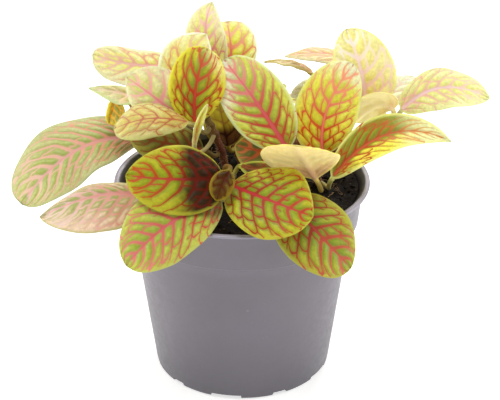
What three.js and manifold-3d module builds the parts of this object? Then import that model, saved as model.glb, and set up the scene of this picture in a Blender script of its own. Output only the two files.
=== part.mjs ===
// Nerve plant with coloured leaves in a 9 cm nursery pot.
// Millimetres, +Z up, the pot's axis on Z, the pot's underside at z = 0 and the front towards -Y.
import * as THREE from "three";
import Module from "manifold-3d";

// Pot
const potHeight = 72;
const lipRadius = 45;
const lipThickness = 1;
const collarTopRadius = 42.5;
const collarBottomRadius = 41.3;
const collarDrop = 14.5;
const bodyTopRadius = 39.1;
const bodyBottomRadius = 31.6;
const wall = 1.2;
const floorThickness = 1.2;
const footHeight = 1.6;
const footWidth = 7.5;
const padRadius = 12;
const notches = 10;
const notchTurn = -10.6;
const wideNotch = 19.6;
const narrowNotch = 9.6;
const slotWidth = 3.2;
const slotLength = 8;

// Soil
const soilTop = 69.6;
const soilRelief = 0.9;
const gap = 0.3;

// Stems
const stemRadius = 1.5;
const holeRadius = 2;

// Leaves
const leafThickness = 0.62;
const midribThickness = 0.95;
const stalkHalfWidth = 0.85;
const stalkThickness = 1.5;
const stalkRows = 3;
const bladeRows = 8;

const wasm = await Module();
wasm.setup();

const part = new THREE.Group();
part.name = "nerve_plant";

function add(name, geometry, colour) {
  const material = new THREE.MeshStandardMaterial({ color: colour, roughness: 0.7 });
  const mesh = new THREE.Mesh(geometry, material);
  mesh.name = name;
  part.add(mesh);
}

// A geometry as a solid that can be joined and cut, and back again
function toSolid(geometry) {
  const source = geometry.index ? geometry.toNonIndexed() : geometry;
  const xyz = source.attributes.position;
  const corners = new Map();
  const points = [];
  const triangles = new Uint32Array(xyz.count);
  for (let i = 0; i < xyz.count; i++) {
    const p = [xyz.getX(i), xyz.getY(i), xyz.getZ(i)];
    const key = p.map((v) => Math.round(v * 2000)).join();
    if (!corners.has(key)) {
      corners.set(key, corners.size);
      points.push(...p);
    }
    triangles[i] = corners.get(key);
  }
  const kept = [];
  for (let i = 0; i < triangles.length; i += 3) {
    const [a, b, c] = triangles.subarray(i, i + 3);
    if (a !== b && b !== c && c !== a) kept.push(a, b, c);
  }
  return new wasm.Manifold(
    new wasm.Mesh({
      numProp: 3,
      vertProperties: new Float32Array(points),
      triVerts: new Uint32Array(kept),
    }),
  );
}

function toGeometry(solid) {
  const mesh = solid.getMesh();
  const geometry = new THREE.BufferGeometry();
  const points = new Float32Array(mesh.numVert * 3);
  for (let i = 0; i < mesh.numVert; i++) {
    const start = i * mesh.numProp;
    points.set(mesh.vertProperties.subarray(start, start + 3), i * 3);
  }
  geometry.setAttribute("position", new THREE.BufferAttribute(points, 3));
  geometry.setIndex(new THREE.BufferAttribute(new Uint32Array(mesh.triVerts), 1));
  geometry.computeVertexNormals();
  return geometry;
}

// A closed profile of radius and height pairs, turned about Z
function turned(profile, segments) {
  const points = profile.map(([r, z]) => new THREE.Vector2(r, z));
  return new THREE.LatheGeometry(points, segments).rotateX(Math.PI / 2);
}

// Inner radius of the pot's wall at height z
function innerRadius(z) {
  const bodyTop = potHeight - collarDrop - 0.5;
  if (z < bodyTop) {
    return THREE.MathUtils.mapLinear(z, 0, bodyTop, bodyBottomRadius, bodyTopRadius) - wall;
  }
  return THREE.MathUtils.mapLinear(
    z, bodyTop, potHeight - 2, collarBottomRadius, collarTopRadius) - wall;
}

// Pot with a rolled lip, a collar, a tapered body, a foot ring and a central pad
function potGeometry() {
  const collarBottom = potHeight - collarDrop;
  const bodyTop = collarBottom - 0.5;
  const inside = footHeight + floorThickness;
  const footRadius = bodyBottomRadius - footWidth;
  const profile = [
    [0, 0],
    [padRadius, 0],
    [padRadius + 0.6, footHeight],
    [footRadius - 0.6, footHeight],
    [footRadius, 0],
    [bodyBottomRadius - 1.3, 0],
    [bodyBottomRadius - 0.4, 0.4],
    [bodyBottomRadius, 1.4],
    [bodyTopRadius, bodyTop],
    [collarBottomRadius - 0.4, collarBottom - 0.2],
    [collarBottomRadius, collarBottom + 0.3],
    [collarTopRadius, potHeight - 2.2],
    [collarTopRadius + 0.8, potHeight - lipThickness - 0.1],
    [lipRadius - 0.2, potHeight - lipThickness],
    [lipRadius, potHeight - lipThickness / 2],
    [lipRadius - 0.3, potHeight],
    [lipRadius - 1.8, potHeight],
    [collarTopRadius - wall, potHeight - 2.4],
    [collarBottomRadius - wall, collarBottom + 0.6],
    [bodyTopRadius - wall, bodyTop - 0.9],
    [bodyBottomRadius - wall + 0.3, inside + 1.2],
    [bodyBottomRadius - wall - 0.7, inside],
    [0, inside],
  ];
  let pot = toSolid(turned(profile, 48));

  for (let i = 0; i < notches; i++) {
    const middle = notchTurn + (i * 360) / notches;
    const notchAngle = i % 2 === 0 ? wideNotch : narrowNotch;
    // Notch between two feet, open to the rim of the base
    const wedge = new THREE.Shape();
    const half = THREE.MathUtils.degToRad(notchAngle / 2);
    wedge.moveTo((footRadius - 1) * Math.cos(-half), (footRadius - 1) * Math.sin(-half));
    wedge.lineTo(40 * Math.cos(-half), 40 * Math.sin(-half));
    wedge.lineTo(40 * Math.cos(half), 40 * Math.sin(half));
    wedge.lineTo((footRadius - 1) * Math.cos(half), (footRadius - 1) * Math.sin(half));
    wedge.closePath();
    const notch = new THREE.ExtrudeGeometry(wedge, { depth: footHeight + 1, bevelEnabled: false });
    notch.translate(0, 0, -1);
    notch.rotateZ(THREE.MathUtils.degToRad(middle - 90));
    pot = pot.subtract(toSolid(notch));
    // Drain slot through the raised floor
    const slot = new THREE.BoxGeometry(slotLength, slotWidth, 4);
    slot.translate((padRadius + footRadius) / 2, 0, footHeight + 1);
    slot.rotateZ(THREE.MathUtils.degToRad(middle - 90));
    pot = pot.subtract(toSolid(slot));
  }
  return toGeometry(pot);
}

// Each stem is a curve from its foot in the soil to its tip
const stems = {
  stem_front: [[-4, 3, 59], [-4, -3, 76], [-5, -15, 79], [-3.5, -24, 83.5]],
  stem_upper: [[-5, 10, 59], [-5, 8, 74], [-8, 4, 86], [-14.5, 3, 97]],
  stem_centre: [[2, 16, 59], [1, 16, 76], [-10, 15, 86], [-12, 13, 103]],
  stem_right: [[27, 5, 59], [28, 2, 70], [26, -6, 74], [23, -9.5, 83]],
  stem_far_right: [[26, 18, 59], [28, 18, 78], [42, 13, 80], [50, 7, 93]],
  stem_left: [[-22, 14, 59], [-24, 14, 74], [-29, 16, 80], [-32, 16, 92]],
  stem_low_left: [[-16, -4, 59], [-16, -6, 73], [-21, -11, 74], [-27, -15, 75]],
  stem_back: [[4, 27, 59], [4, 28, 72], [2, 32, 78], [0, 35, 84]],
  stem_back_left: [[-14, 27, 59], [-14, 28, 70], [-19, 31, 75], [-23, 34, 80]],
  stem_back_right: [[16, 25, 59], [18, 25, 80], [30, 24, 84], [40, 21, 98]],
};

function vector(p) {
  return new THREE.Vector3(p[0], p[1], p[2]);
}

function stemCurve(points) {
  return new THREE.CubicBezierCurve3(...points.map(vector));
}

// An eight sided tube along a stem's curve
function stemGeometry(points, radius) {
  const ring = new THREE.Shape();
  for (let i = 0; i < 8; i++) {
    const turn = (i * Math.PI) / 4;
    const corner = [radius * Math.cos(turn), radius * Math.sin(turn)];
    if (i === 0) ring.moveTo(...corner);
    else ring.lineTo(...corner);
  }
  ring.closePath();
  return new THREE.ExtrudeGeometry(ring, {
    extrudePath: stemCurve(points),
    steps: 10,
    bevelEnabled: false,
  });
}

// Soil filling the pot, its top uneven, with a plain hole for each stem
function soilGeometry() {
  const bottom = footHeight + floorThickness + gap;
  const geometry = turned(
    [
      [0, bottom],
      [innerRadius(bottom) - 1.8, bottom],
      [innerRadius(bottom + 2) - 2 * gap, bottom + 2],
      [innerRadius(56) - 2 * gap, 56],
      [innerRadius(58.5) - 2 * gap, 58.7],
      [innerRadius(soilTop) - 2 * gap, soilTop],
      [34, soilTop],
      [26, soilTop],
      [18, soilTop],
      [9, soilTop],
      [0, soilTop],
    ],
    32,
  );
  const xyz = geometry.attributes.position;
  for (let i = 0; i < xyz.count; i++) {
    const x = xyz.getX(i);
    const y = xyz.getY(i);
    if (xyz.getZ(i) < soilTop - 0.1) continue;
    const edge = Math.hypot(x, y) > 40 ? 0.3 : 1;
    const lump = Math.sin(x * 0.31 + 1.3) * Math.cos(y * 0.27) + 0.6 * Math.sin(x * 0.57 - y * 0.49);
    xyz.setZ(i, soilTop + soilRelief * edge * lump);
  }
  let soil = toSolid(geometry);
  for (const points of Object.values(stems)) {
    const [foot, ...rest] = points;
    const deeper = [[foot[0], foot[1], foot[2] - gap - 0.1], ...rest];
    soil = soil.subtract(toSolid(stemGeometry(deeper, holeRadius)));
  }
  return toGeometry(soil);
}

// Leaves: base, mid and tip lie on the midrib; half is the half width to the right and to the left of it,
// seen from the base with the upper side up; face is where the upper side looks; wide is where the blade
// is widest, ends shape its two ends; fold lifts both halves in a V, cup bends them further, wave ripples
// the margins.
const leaves = [
  // 01 and 02, the front pair, above the rim
  { stem: "stem_front", at: 0.87, base: [-6, -30, 86.5], mid: [-21, -37, 89], tip: [-37.5, -36, 90],
    half: [12, 12], face: [0, -0.75, 0.65], wide: 0.45, ends: [0.45, 0.6], fold: 6, cup: -2, columns: 6 },
  { stem: "stem_front", at: 0.9, base: [-3.5, -30, 83.5], mid: [10, -42, 83.5], tip: [23, -46, 80],
    half: [13, 13.8], face: [0.1, -0.7, 0.7], wide: 0.5, ends: [0.5, 0.65], fold: 4, cup: -2, columns: 6,
    wave: [0.6, 1.5] },
  // 03 and 04, the pair below them, hanging over the rim
  { stem: "stem_front", at: 0.7, base: [-7, -31, 78.5], mid: [-23.7, -46, 77], tip: [-37.2, -49, 63.7],
    half: [12.5, 12], face: [-0.1, -0.75, 0.65], wide: 0.52, ends: [0.6, 0.5], fold: 5, cup: -2, columns: 6,
    wave: [0.8, 2] },
  { stem: "stem_front", at: 0.5, base: [14.8, -34, 80], mid: [25.3, -44, 72.6], tip: [35.7, -45, 60.6],
    half: [12.8, 12.5], face: [0.3, -0.75, 0.6], wide: 0.42, ends: [0.35, 0.5], fold: 5, cup: -2, columns: 6,
    wave: [0.7, 1.5] },
  // 05, small bronze leaf at the tip of the front stem
  { stem: "stem_front", at: 0.98, base: [-4, -33, 90], mid: [-6.5, -38, 87], tip: [-8, -39, 82.5],
    half: [4, 4], face: [0, -0.8, 0.6], wide: 0.45, ends: [0.5, 0.6], fold: 8, cup: -0.5 },
  // 06, the big leaf at the far left, and 07 below it
  { stem: "stem_left", at: 0.42, base: [-35, 24, 76.5], mid: [-59, 14, 76.5], tip: [-78.5, 2, 60.5],
    half: [15.2, 12], face: [-0.15, -0.55, 0.8], wide: 0.6, ends: [0.8, 0.42], fold: 4, cup: -2, columns: 6,
    wave: [1.1, 2] },
  { stem: "stem_low_left", at: 0.95, base: [-32.2, -24, 76.2], mid: [-48.2, -28, 78.6],
    tip: [-68.5, -22, 67.5],
    half: [5.5, 13.5], face: [0, -0.6, 0.8], wide: 0.45, ends: [0.6, 0.75], fold: 4, cup: -2,
    wave: [0.7, 2] },
  // 08 and 09, narrow young leaves at the left
  { stem: "stem_left", at: 0.95, base: [-36, 12, 96.5], mid: [-44.5, 16, 98], tip: [-54.5, 18, 98.5],
    half: [4, 4], face: [0, -0.5, 0.85], wide: 0.4, ends: [0.6, 1], fold: -10, cup: -1 },
  { stem: "stem_left", at: 0.8, base: [-45, 21, 95], mid: [-46.5, 21, 89.5], tip: [-48, 20, 84],
    half: [2.2, 6.2], face: [-0.5, -0.85, 0], wide: 0.6, ends: [0.8, 0.4], fold: 10, cup: 0 },
  // 10, the shaded leaf behind 01
  { stem: "stem_upper", at: 0.5, base: [-13.5, -2, 83.5], mid: [-27, 2, 84.5], tip: [-40, 6, 86],
    half: [8, 8], face: [0, -0.7, 0.7], wide: 0.45, ends: [0.6, 0.75], fold: 4, cup: -1 },
  // 11, the upright leaf facing forwards, with 12, 13 and the curled 14 round it
  { stem: "stem_upper", at: 0.97, base: [-16, -4.5, 95], mid: [-15.6, -2, 107.5], tip: [-11.8, 6, 118],
    half: [10, 9.5], face: [0.05, -0.95, 0.35], wide: 0.52, ends: [0.6, 0.42], fold: 8, cup: -1,
    columns: 6 },
  { stem: "stem_upper", at: 0.9, base: [-20.6, -3.6, 95.8], mid: [-30.2, -1, 103.2], tip: [-40, 8, 106.8],
    half: [11, 8], face: [-0.2, -0.8, 0.55], wide: 0.45, ends: [0.5, 0.75], fold: 5, cup: -1,
    wave: [0.6, 1.5] },
  { stem: "stem_upper", at: 0.8, base: [-18.4, -9.6, 97.3], mid: [-31.1, -14, 100.6],
    tip: [-42.9, -13, 96.2],
    half: [10.8, 6.8], face: [-0.1, -0.4, 0.9], wide: 0.58, ends: [0.55, 0.36], fold: -8, cup: -1.5 },
  { stem: "stem_upper", at: 0.7, base: [-16, -14, 91.5], mid: [-14.5, -14, 99.5], tip: [-11.5, -12, 105],
    half: [2, 2], face: [0.3, -0.9, 0], wide: 0.5, ends: [0.5, 0.7], fold: 45, cup: 0 },
  // 15 to 18, the leaves at the top
  { stem: "stem_centre", at: 0.9, base: [-18, 7, 103], mid: [-19.3, 7.5, 111.5], tip: [-12.4, 14, 120.3],
    half: [10.5, 9.5], face: [0, -0.9, 0.4], wide: 0.5, ends: [0.5, 0.75], fold: 5, cup: -1,
    wave: [0.8, 1.5] },
  { stem: "stem_centre", at: 0.98, base: [-7, 16, 103.5], mid: [-12.5, 17, 117.5], tip: [-10.5, 27, 127.5],
    half: [7, 7.5], face: [0, -0.9, 0.4], wide: 0.45, ends: [0.6, 0.8], fold: 5, cup: -1 },
  { stem: "stem_centre", at: 0.88, base: [-5, 19, 101], mid: [-3.9, 20, 111.6], tip: [-5.5, 28, 119.9],
    half: [9.5, 11], face: [0.2, -0.9, 0.4], wide: 0.58, ends: [0.5, 0.3], fold: 5, cup: -1 },
  { stem: "stem_centre", at: 0.85, base: [-24.5, 14, 108.6], mid: [-38.6, 20, 106.9],
    tip: [-52.7, 19, 110.8],
    half: [6.5, 8.5], face: [0, -0.7, 0.7], wide: 0.5, ends: [0.4, 0.4], fold: 4, cup: -1,
    wave: [0.8, 1.5] },
  // 19, the big green leaf in the middle, and 20 beside it
  { stem: "stem_right", at: 0.97, base: [15.5, -10, 87.5], mid: [5.5, -5, 102], tip: [-6, 8, 113],
    half: [11, 11], face: [-0.05, -0.9, 0.45], wide: 0.5, ends: [0.55, 0.45], fold: 4, cup: -1.5,
    columns: 6 },
  { stem: "stem_right", at: 0.7, base: [28, -7.5, 84.5], mid: [29, -5, 100], tip: [38.5, 9, 111],
    half: [10.8, 11], face: [-0.05, -0.9, 0.4], wide: 0.5, ends: [0.5, 0.5], fold: 6, cup: -1, columns: 6 },
  // 21, seen from its underside, and the big 22 reaching to the right
  { stem: "stem_right", at: 0.6, base: [25, -19, 80.7], mid: [19.5, -28.5, 94], tip: [17.5, -42, 103],
    half: [13, 13], face: [0.1, 0.85, 0.5], wide: 0.5, ends: [0.8, 0.45], fold: 0, cup: -1, columns: 6 },
  { stem: "stem_right", at: 0.5, base: [31, -14, 78.5], mid: [49.5, -12, 94], tip: [71.5, -8, 89.5],
    half: [7.2, 7], face: [-0.3, -0.8, 0.6], wide: 0.4, ends: [0.6, 0.9], fold: 18, cup: 0, columns: 6,
    wave: [0.6, 2] },
  // 23, the dark leaf between 02 and 21
  { stem: "stem_front", at: 0.5, base: [-0.5, -8.6, 80.5], mid: [13, -16.8, 80], tip: [23, -22, 75],
    half: [5, 4.5], face: [0, -0.7, 0.7], wide: 0.5, ends: [0.6, 0.7], fold: 4, cup: -1 },
  // 24 to 30, the pale leaves at the right and behind
  { stem: "stem_far_right", at: 0.85, base: [43, 8, 94.5], mid: [41.5, 10, 108], tip: [36.5, 21, 119.5],
    half: [12, 10], face: [0, -0.9, 0.4], wide: 0.45, ends: [0.5, 0.55], fold: 5, cup: -1,
    wave: [0.8, 1.5] },
  { stem: "stem_back_right", at: 0.98, base: [42, 22, 106.5], mid: [29, 25, 109], tip: [15.5, 27, 107],
    half: [6, 6], face: [0, -0.1, 1], wide: 0.45, ends: [0.6, 0.8], fold: 4, cup: -1 },
  { stem: "stem_back_right", at: 0.9, base: [25, 26, 101], mid: [18, 28, 104.5], tip: [8, 28, 104.5],
    half: [5, 5], face: [0, 0.2, 1], wide: 0.45, ends: [0.6, 0.8], fold: 4, cup: -1 },
  { stem: "stem_far_right", at: 0.98, base: [55.5, 4, 96], mid: [69, 4, 104.5], tip: [86.5, 10, 98],
    half: [8, 7.5], face: [-0.1, -0.7, 0.7], wide: 0.5, ends: [0.5, 0.65], fold: 5, cup: -1,
    wave: [0.8, 2] },
  { stem: "stem_far_right", at: 0.9, base: [52, 0.6, 97.8], mid: [46.7, 2.2, 98.8], tip: [39, 6, 90.8],
    half: [9, 7], face: [0, 0.9, 0.4], wide: 0.5, ends: [0.45, 0.5], fold: 3, cup: -1 },
  { stem: "stem_far_right", at: 0.8, base: [48, 20, 88], mid: [56, 30, 94], tip: [63, 38, 95],
    half: [7, 7], face: [0, 0, 1], wide: 0.5, ends: [0.6, 0.7], fold: 4, cup: -1 },
  { stem: "stem_back_right", at: 0.7, base: [32.3, 31, 95.8], mid: [25.8, 31, 93.9], tip: [17.7, 28, 91.2],
    half: [4.5, 5], face: [0, -0.5, 0.8], wide: 0.5, ends: [0.6, 0.7], fold: 4, cup: -1 },
  // 31, the leaf under 19
  { stem: "stem_right", at: 0.8, base: [14.5, -6.8, 82.6], mid: [6.5, -4, 84], tip: [-2.3, 0, 84.4],
    half: [8, 8], face: [0, -0.7, 0.7], wide: 0.5, ends: [0.6, 0.7], fold: 4, cup: -1 },
  // 32 to 41, the back of the plant
  { stem: "stem_back", at: 0.95, base: [-5, 39, 85], mid: [-13, 49, 85], tip: [-21, 58, 77],
    half: [10, 10], face: [-0.1, 0.5, 0.85], wide: 0.5, ends: [0.55, 0.6], fold: 5, cup: -2,
    wave: [0.7, 1.5] },
  { stem: "stem_back", at: 0.95, base: [4, 39, 85], mid: [14, 48, 84], tip: [24, 55, 76],
    half: [10, 10], face: [0.2, 0.5, 0.85], wide: 0.5, ends: [0.55, 0.6], fold: 5, cup: -2,
    wave: [0.8, 2] },
  { stem: "stem_back", at: 0.7, base: [1, 40, 77], mid: [2, 53, 76.5], tip: [3, 63, 66],
    half: [10, 10], face: [0, 0.5, 0.85], wide: 0.5, ends: [0.55, 0.6], fold: 5, cup: -2, wave: [0.7, 2] },
  { stem: "stem_back_left", at: 0.95, base: [-27, 37, 81.5], mid: [-35, 46, 81], tip: [-43, 54, 72],
    half: [9, 9], face: [-0.3, 0.4, 0.85], wide: 0.5, ends: [0.55, 0.6], fold: 5, cup: -2,
    wave: [0.8, 1.5] },
  { stem: "stem_back_left", at: 0.7, base: [-20, 39, 76], mid: [-24, 51, 76], tip: [-29, 61, 66],
    half: [9, 9], face: [-0.1, 0.5, 0.85], wide: 0.5, ends: [0.55, 0.6], fold: 5, cup: -2 },
  { stem: "stem_back_right", at: 0.5, base: [34, 30, 82], mid: [45, 36, 83], tip: [56, 40, 76],
    half: [9, 9], face: [0.3, 0.3, 0.85], wide: 0.5, ends: [0.55, 0.6], fold: 5, cup: -2, wave: [0.8, 2] },
  { stem: "stem_back_right", at: 0.3, base: [23, 33, 79], mid: [30, 45, 79.5], tip: [36, 56, 71],
    half: [9, 9], face: [0.2, 0.5, 0.85], wide: 0.5, ends: [0.55, 0.6], fold: 5, cup: -2 },
  { stem: "stem_left", at: 0.5, base: [-36, 34, 78], mid: [-48, 38, 79], tip: [-58, 40, 72],
    half: [8, 8], face: [-0.3, 0.3, 0.85], wide: 0.5, ends: [0.55, 0.6], fold: 5, cup: -2 },
  { stem: "stem_centre", at: 0.8, base: [-9, 20, 98], mid: [-8, 31, 103], tip: [-6, 42, 99],
    half: [9, 9], face: [0, -0.2, 1], wide: 0.5, ends: [0.55, 0.6], fold: 5, cup: -2, wave: [0.6, 1.5] },
  { stem: "stem_centre", at: 0.7, base: [-18, 22, 95], mid: [-27, 31, 98], tip: [-36, 38, 93],
    half: [9, 9], face: [-0.2, 0, 1], wide: 0.5, ends: [0.55, 0.6], fold: 5, cup: -2 },
  // 42 to 44, smaller leaves over the soil at the back
  { stem: "stem_centre", at: 0.5, base: [5, 19, 88], mid: [12, 27, 89], tip: [19, 35, 83],
    half: [7, 7], face: [0.2, 0.2, 1], wide: 0.5, ends: [0.55, 0.6], fold: 5, cup: -1 },
  { stem: "stem_back", at: 0.98, base: [-4, 33, 91], mid: [-11, 38, 95], tip: [-18, 45, 94],
    half: [6.5, 6.5], face: [0, 0, 1], wide: 0.5, ends: [0.55, 0.6], fold: 5, cup: -1 },
  { stem: "stem_back", at: 0.98, base: [5, 35, 88], mid: [10, 43, 90], tip: [14, 51, 87],
    half: [6, 6], face: [0.2, 0.2, 1], wide: 0.5, ends: [0.55, 0.6], fold: 5, cup: -1 },
  // 45, the olive leaf behind 11 and 19
  { stem: "stem_centre", at: 0.4, base: [-5, 8.5, 80.4], mid: [-6.7, 9, 89.1], tip: [-8.4, 11, 97.4],
    half: [8.5, 7], face: [0.05, -0.95, 0.3], wide: 0.5, ends: [0.5, 0.5], fold: 3, cup: -0.5 },
];

// One leaf as a closed sheet: a stalk from its stem and a blade along its midrib
function leafGeometry(leaf) {
  const base = vector(leaf.base);
  const mid = vector(leaf.mid);
  const tip = vector(leaf.tip);
  const pull = mid.clone().multiplyScalar(2).addScaledVector(base, -0.5).addScaledVector(tip, -0.5);
  const blade = new THREE.QuadraticBezierCurve3(base, pull, tip);
  const stem = stemCurve(stems[leaf.stem]);
  const axis = stem.getPoint(leaf.at);
  const along = stem.getTangent(leaf.at);
  const out = base.clone().sub(axis);
  out.addScaledVector(along, -out.dot(along)).normalize();
  const joint = axis.clone().addScaledVector(out, stemRadius + gap + 0.15);
  const reach = joint.distanceTo(base) * 0.4;
  const start = blade.getTangent(0);
  const stalk = new THREE.CubicBezierCurve3(
    joint,
    joint.clone().addScaledVector(out, reach),
    base.clone().addScaledVector(start, -reach),
    base,
  );

  const face = vector(leaf.face);
  const rows = stalkRows + bladeRows;
  const columns = leaf.columns ?? 4;
  const sections = [];
  for (let i = 0; i <= rows; i++) {
    // Rows lie closer together at both ends of the blade
    const s = 0.5 - 0.5 * Math.cos(Math.PI * Math.max(0, (i - stalkRows) / bladeRows));
    const t = Math.min(1, i / stalkRows);
    const point = i < stalkRows ? stalk.getPoint(t) : blade.getPoint(s);
    const forward = i < stalkRows ? stalk.getTangent(t) : blade.getTangent(s);
    const up = face.clone().addScaledVector(forward, -face.dot(forward)).normalize();
    sections.push({ s, point, forward, up, isStalk: i < stalkRows });
  }
  for (let i = stalkRows - 1; i >= 0; i--) {
    const { forward } = sections[i];
    const next = sections[i + 1].up;
    sections[i].up = next.clone().addScaledVector(forward, -next.dot(forward)).normalize();
  }

  const grid = new THREE.PlaneGeometry(2, 1, columns, rows);
  const count = grid.attributes.position.count;
  const points = new Float32Array(count * 2 * 3);
  for (let k = 0; k < count; k++) {
    const v = grid.attributes.position.getX(k);
    const section = sections[Math.floor(k / (columns + 1))];
    const { top, bottom } = bladePoint(leaf, section, v);
    points.set(top.toArray(), k * 3);
    points.set(bottom.toArray(), (k + count) * 3);
  }
  // The underside repeats the upper side's triangles turned round, and a strip closes the edge
  const upper = Array.from(grid.index.array);
  const index = [...upper];
  for (let k = 0; k < upper.length; k += 3) {
    index.push(upper[k] + count, upper[k + 2] + count, upper[k + 1] + count);
  }
  const edge = [];
  for (let c = 0; c < columns; c++) edge.push(c);
  for (let r = 0; r < rows; r++) edge.push(r * (columns + 1) + columns);
  for (let c = columns; c > 0; c--) edge.push(rows * (columns + 1) + c);
  for (let r = rows; r > 0; r--) edge.push(r * (columns + 1));
  for (let k = 0; k < edge.length; k++) {
    const a = edge[k];
    const b = edge[(k + 1) % edge.length];
    index.push(a, b, a + count, b, b + count, a + count);
  }
  const geometry = new THREE.BufferGeometry();
  geometry.setAttribute("position", new THREE.BufferAttribute(points, 3));
  geometry.setIndex(index);
  geometry.computeVertexNormals();
  return geometry;
}

// Half width of the blade at s along it
function halfWidth(leaf, s, side) {
  const wide = leaf.wide ?? 0.48;
  const [baseEnd, tipEnd] = leaf.ends ?? [0.55, 0.65];
  const full = leaf.half[side];
  const shape =
    s < wide
      ? (1 - ((wide - s) / wide) ** 2) ** baseEnd
      : (1 - ((s - wide) / (1 - wide)) ** 2) ** tipEnd;
  return Math.max(full * shape, s < 0.5 ? stalkHalfWidth : 0.4);
}

// A point of the sheet, v from -1 to 1 across it
function bladePoint(leaf, section, v) {
  const { s, point, forward, up, isStalk } = section;
  const side = up.clone().cross(forward);
  const half = isStalk ? stalkHalfWidth : halfWidth(leaf, s, v < 0 ? 0 : 1);
  const across = v * half;
  const fold = THREE.MathUtils.degToRad(leaf.fold ?? 0);
  const spread = isStalk ? 0 : 1;
  const [waveHeight, waves] = leaf.wave ?? [0, 0];
  const middle = point.clone().addScaledVector(side, across * (spread ? Math.cos(fold) : 1));
  const lift =
    spread *
    (Math.abs(across) * Math.sin(fold) +
      (leaf.cup ?? 0) * (across / leaf.half[v < 0 ? 0 : 1]) ** 2 +
      waveHeight * v * v * Math.sin(2 * Math.PI * waves * s + (v < 0 ? 0 : 2)) * Math.sin(Math.PI * s));
  middle.addScaledVector(up, lift);
  const full = isStalk
    ? stalkThickness
    : THREE.MathUtils.lerp(stalkThickness, midribThickness, Math.min(1, s * 5));
  const thick = leafThickness + (full - leafThickness) * (1 - v * v) ** 2;
  return {
    top: middle.clone().addScaledVector(up, thick * 0.4),
    bottom: middle.clone().addScaledVector(up, -thick * 0.6),
  };
}

add("pot", potGeometry(), "#8f8a92");
add("soil", soilGeometry(), "#241a14");
for (const [name, points] of Object.entries(stems)) {
  add(name, stemGeometry(points, stemRadius), "#8a5a3a");
}
leaves.forEach((leaf, i) => {
  add(`leaf_${String(i + 1).padStart(2, "0")}`, leafGeometry(leaf), "#b8c84a");
});

export default part;
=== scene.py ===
# Nerve plant with coloured leaves in a 9 cm nursery pot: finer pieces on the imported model
import math
import random

import bmesh
import bpy
from mathutils import Matrix, Vector, noise


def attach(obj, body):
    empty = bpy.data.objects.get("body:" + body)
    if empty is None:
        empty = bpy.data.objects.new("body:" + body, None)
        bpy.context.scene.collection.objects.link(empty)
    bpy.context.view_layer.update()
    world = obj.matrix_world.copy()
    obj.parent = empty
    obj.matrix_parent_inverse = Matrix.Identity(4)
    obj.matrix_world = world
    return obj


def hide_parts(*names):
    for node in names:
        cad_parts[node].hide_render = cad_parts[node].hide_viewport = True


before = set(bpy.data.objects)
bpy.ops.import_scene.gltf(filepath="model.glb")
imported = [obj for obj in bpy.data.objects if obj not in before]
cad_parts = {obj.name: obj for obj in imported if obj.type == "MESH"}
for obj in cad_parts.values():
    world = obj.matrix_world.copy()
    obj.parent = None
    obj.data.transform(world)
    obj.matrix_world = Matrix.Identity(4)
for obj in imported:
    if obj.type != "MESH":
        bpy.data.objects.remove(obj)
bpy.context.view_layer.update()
mm = 0.001
random.seed(11)
print("frame loaded:", len(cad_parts), "nodes")


# Small helpers for shader nodes
def colour(text):  # "#rrggbb" as the linear values that a socket takes
    channels = [int(text[i:i + 2], 16) / 255 for i in (1, 3, 5)]
    linear = [c / 12.92 if c <= 0.04045 else ((c + 0.055) / 1.055) ** 2.4 for c in channels]
    return (*linear, 1)


def setInputs(node, values):
    for key, value in values.items():
        if isinstance(value, bpy.types.NodeSocket):
            node.id_data.links.new(value, node.inputs[key])
        else:
            node.inputs[key].default_value = value


def addNode(tree, kind, values=None, **settings):
    node = tree.nodes.new("ShaderNode" + kind)
    for key, value in settings.items():
        setattr(node, key, value)
    setInputs(node, values or {})
    return node


def fedNode(kind, values, **settings):  # a node in the tree of the sockets that feed it
    tree = next(value.id_data for value in values.values() if isinstance(value, bpy.types.NodeSocket))
    return addNode(tree, kind, values, **settings)


def calc(operation, *values):
    return fedNode("Math", dict(enumerate(values)), operation=operation).outputs[0]


def plus(a, b):
    return calc("ADD", a, b)


def minus(a, b):
    return calc("SUBTRACT", a, b)


def times(a, b):
    return calc("MULTIPLY", a, b)


def fade(value, start, end, low=0.0, high=1.0):  # smooth step from start to end
    values = {0: value, 1: start, 2: end, 3: low, 4: high}
    return fedNode("MapRange", values, interpolation_type="SMOOTHSTEP").outputs[0]


def mixColour(factor, a, b, blend="MIX"):  # colours as sockets or "#rrggbb"
    a, b = (colour(c) if isinstance(c, str) else c for c in (a, b))
    return fedNode("Mix", {0: factor, 6: a, 7: b}, data_type="RGBA", blend_type=blend).outputs[2]


def noiseAt(vector, scale, detail=2.0, roughness=0.5):
    values = {"Vector": vector, "Scale": scale, "Detail": detail, "Roughness": roughness}
    return fedNode("TexNoise", values).outputs["Fac"]


def joined(*values):  # a vector from up to three values
    return fedNode("CombineXYZ", dict(enumerate(values))).outputs[0]


def chanceAt(*values):  # one random value for each set of whole numbers
    return fedNode("TexWhiteNoise", {"Vector": joined(*values)}).outputs["Value"]


def bumpFrom(height, strength, distance):
    values = {"Height": height, "Strength": strength, "Distance": distance}
    return fedNode("Bump", values).outputs[0]


def objectPlace(tree):
    return addNode(tree, "TexCoord").outputs["Object"]


def partsOf(tree, attribute):  # three values kept on the mesh
    vector = addNode(tree, "Attribute", attribute_name=attribute).outputs["Vector"]
    return addNode(tree, "SeparateXYZ", {0: vector}).outputs


def newGroup(name, inputs, outputs, colours=()):  # sockets are numbers, apart from those named in colours
    tree = bpy.data.node_groups.new(name, "ShaderNodeTree")
    for way, labels in (("INPUT", inputs), ("OUTPUT", outputs)):
        for label in labels:
            kind = "NodeSocketColor" if label in colours else "NodeSocketFloat"
            tree.interface.new_socket(label, in_out=way, socket_type=kind)
    return tree, tree.nodes.new("NodeGroupInput").outputs, tree.nodes.new("NodeGroupOutput")


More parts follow.
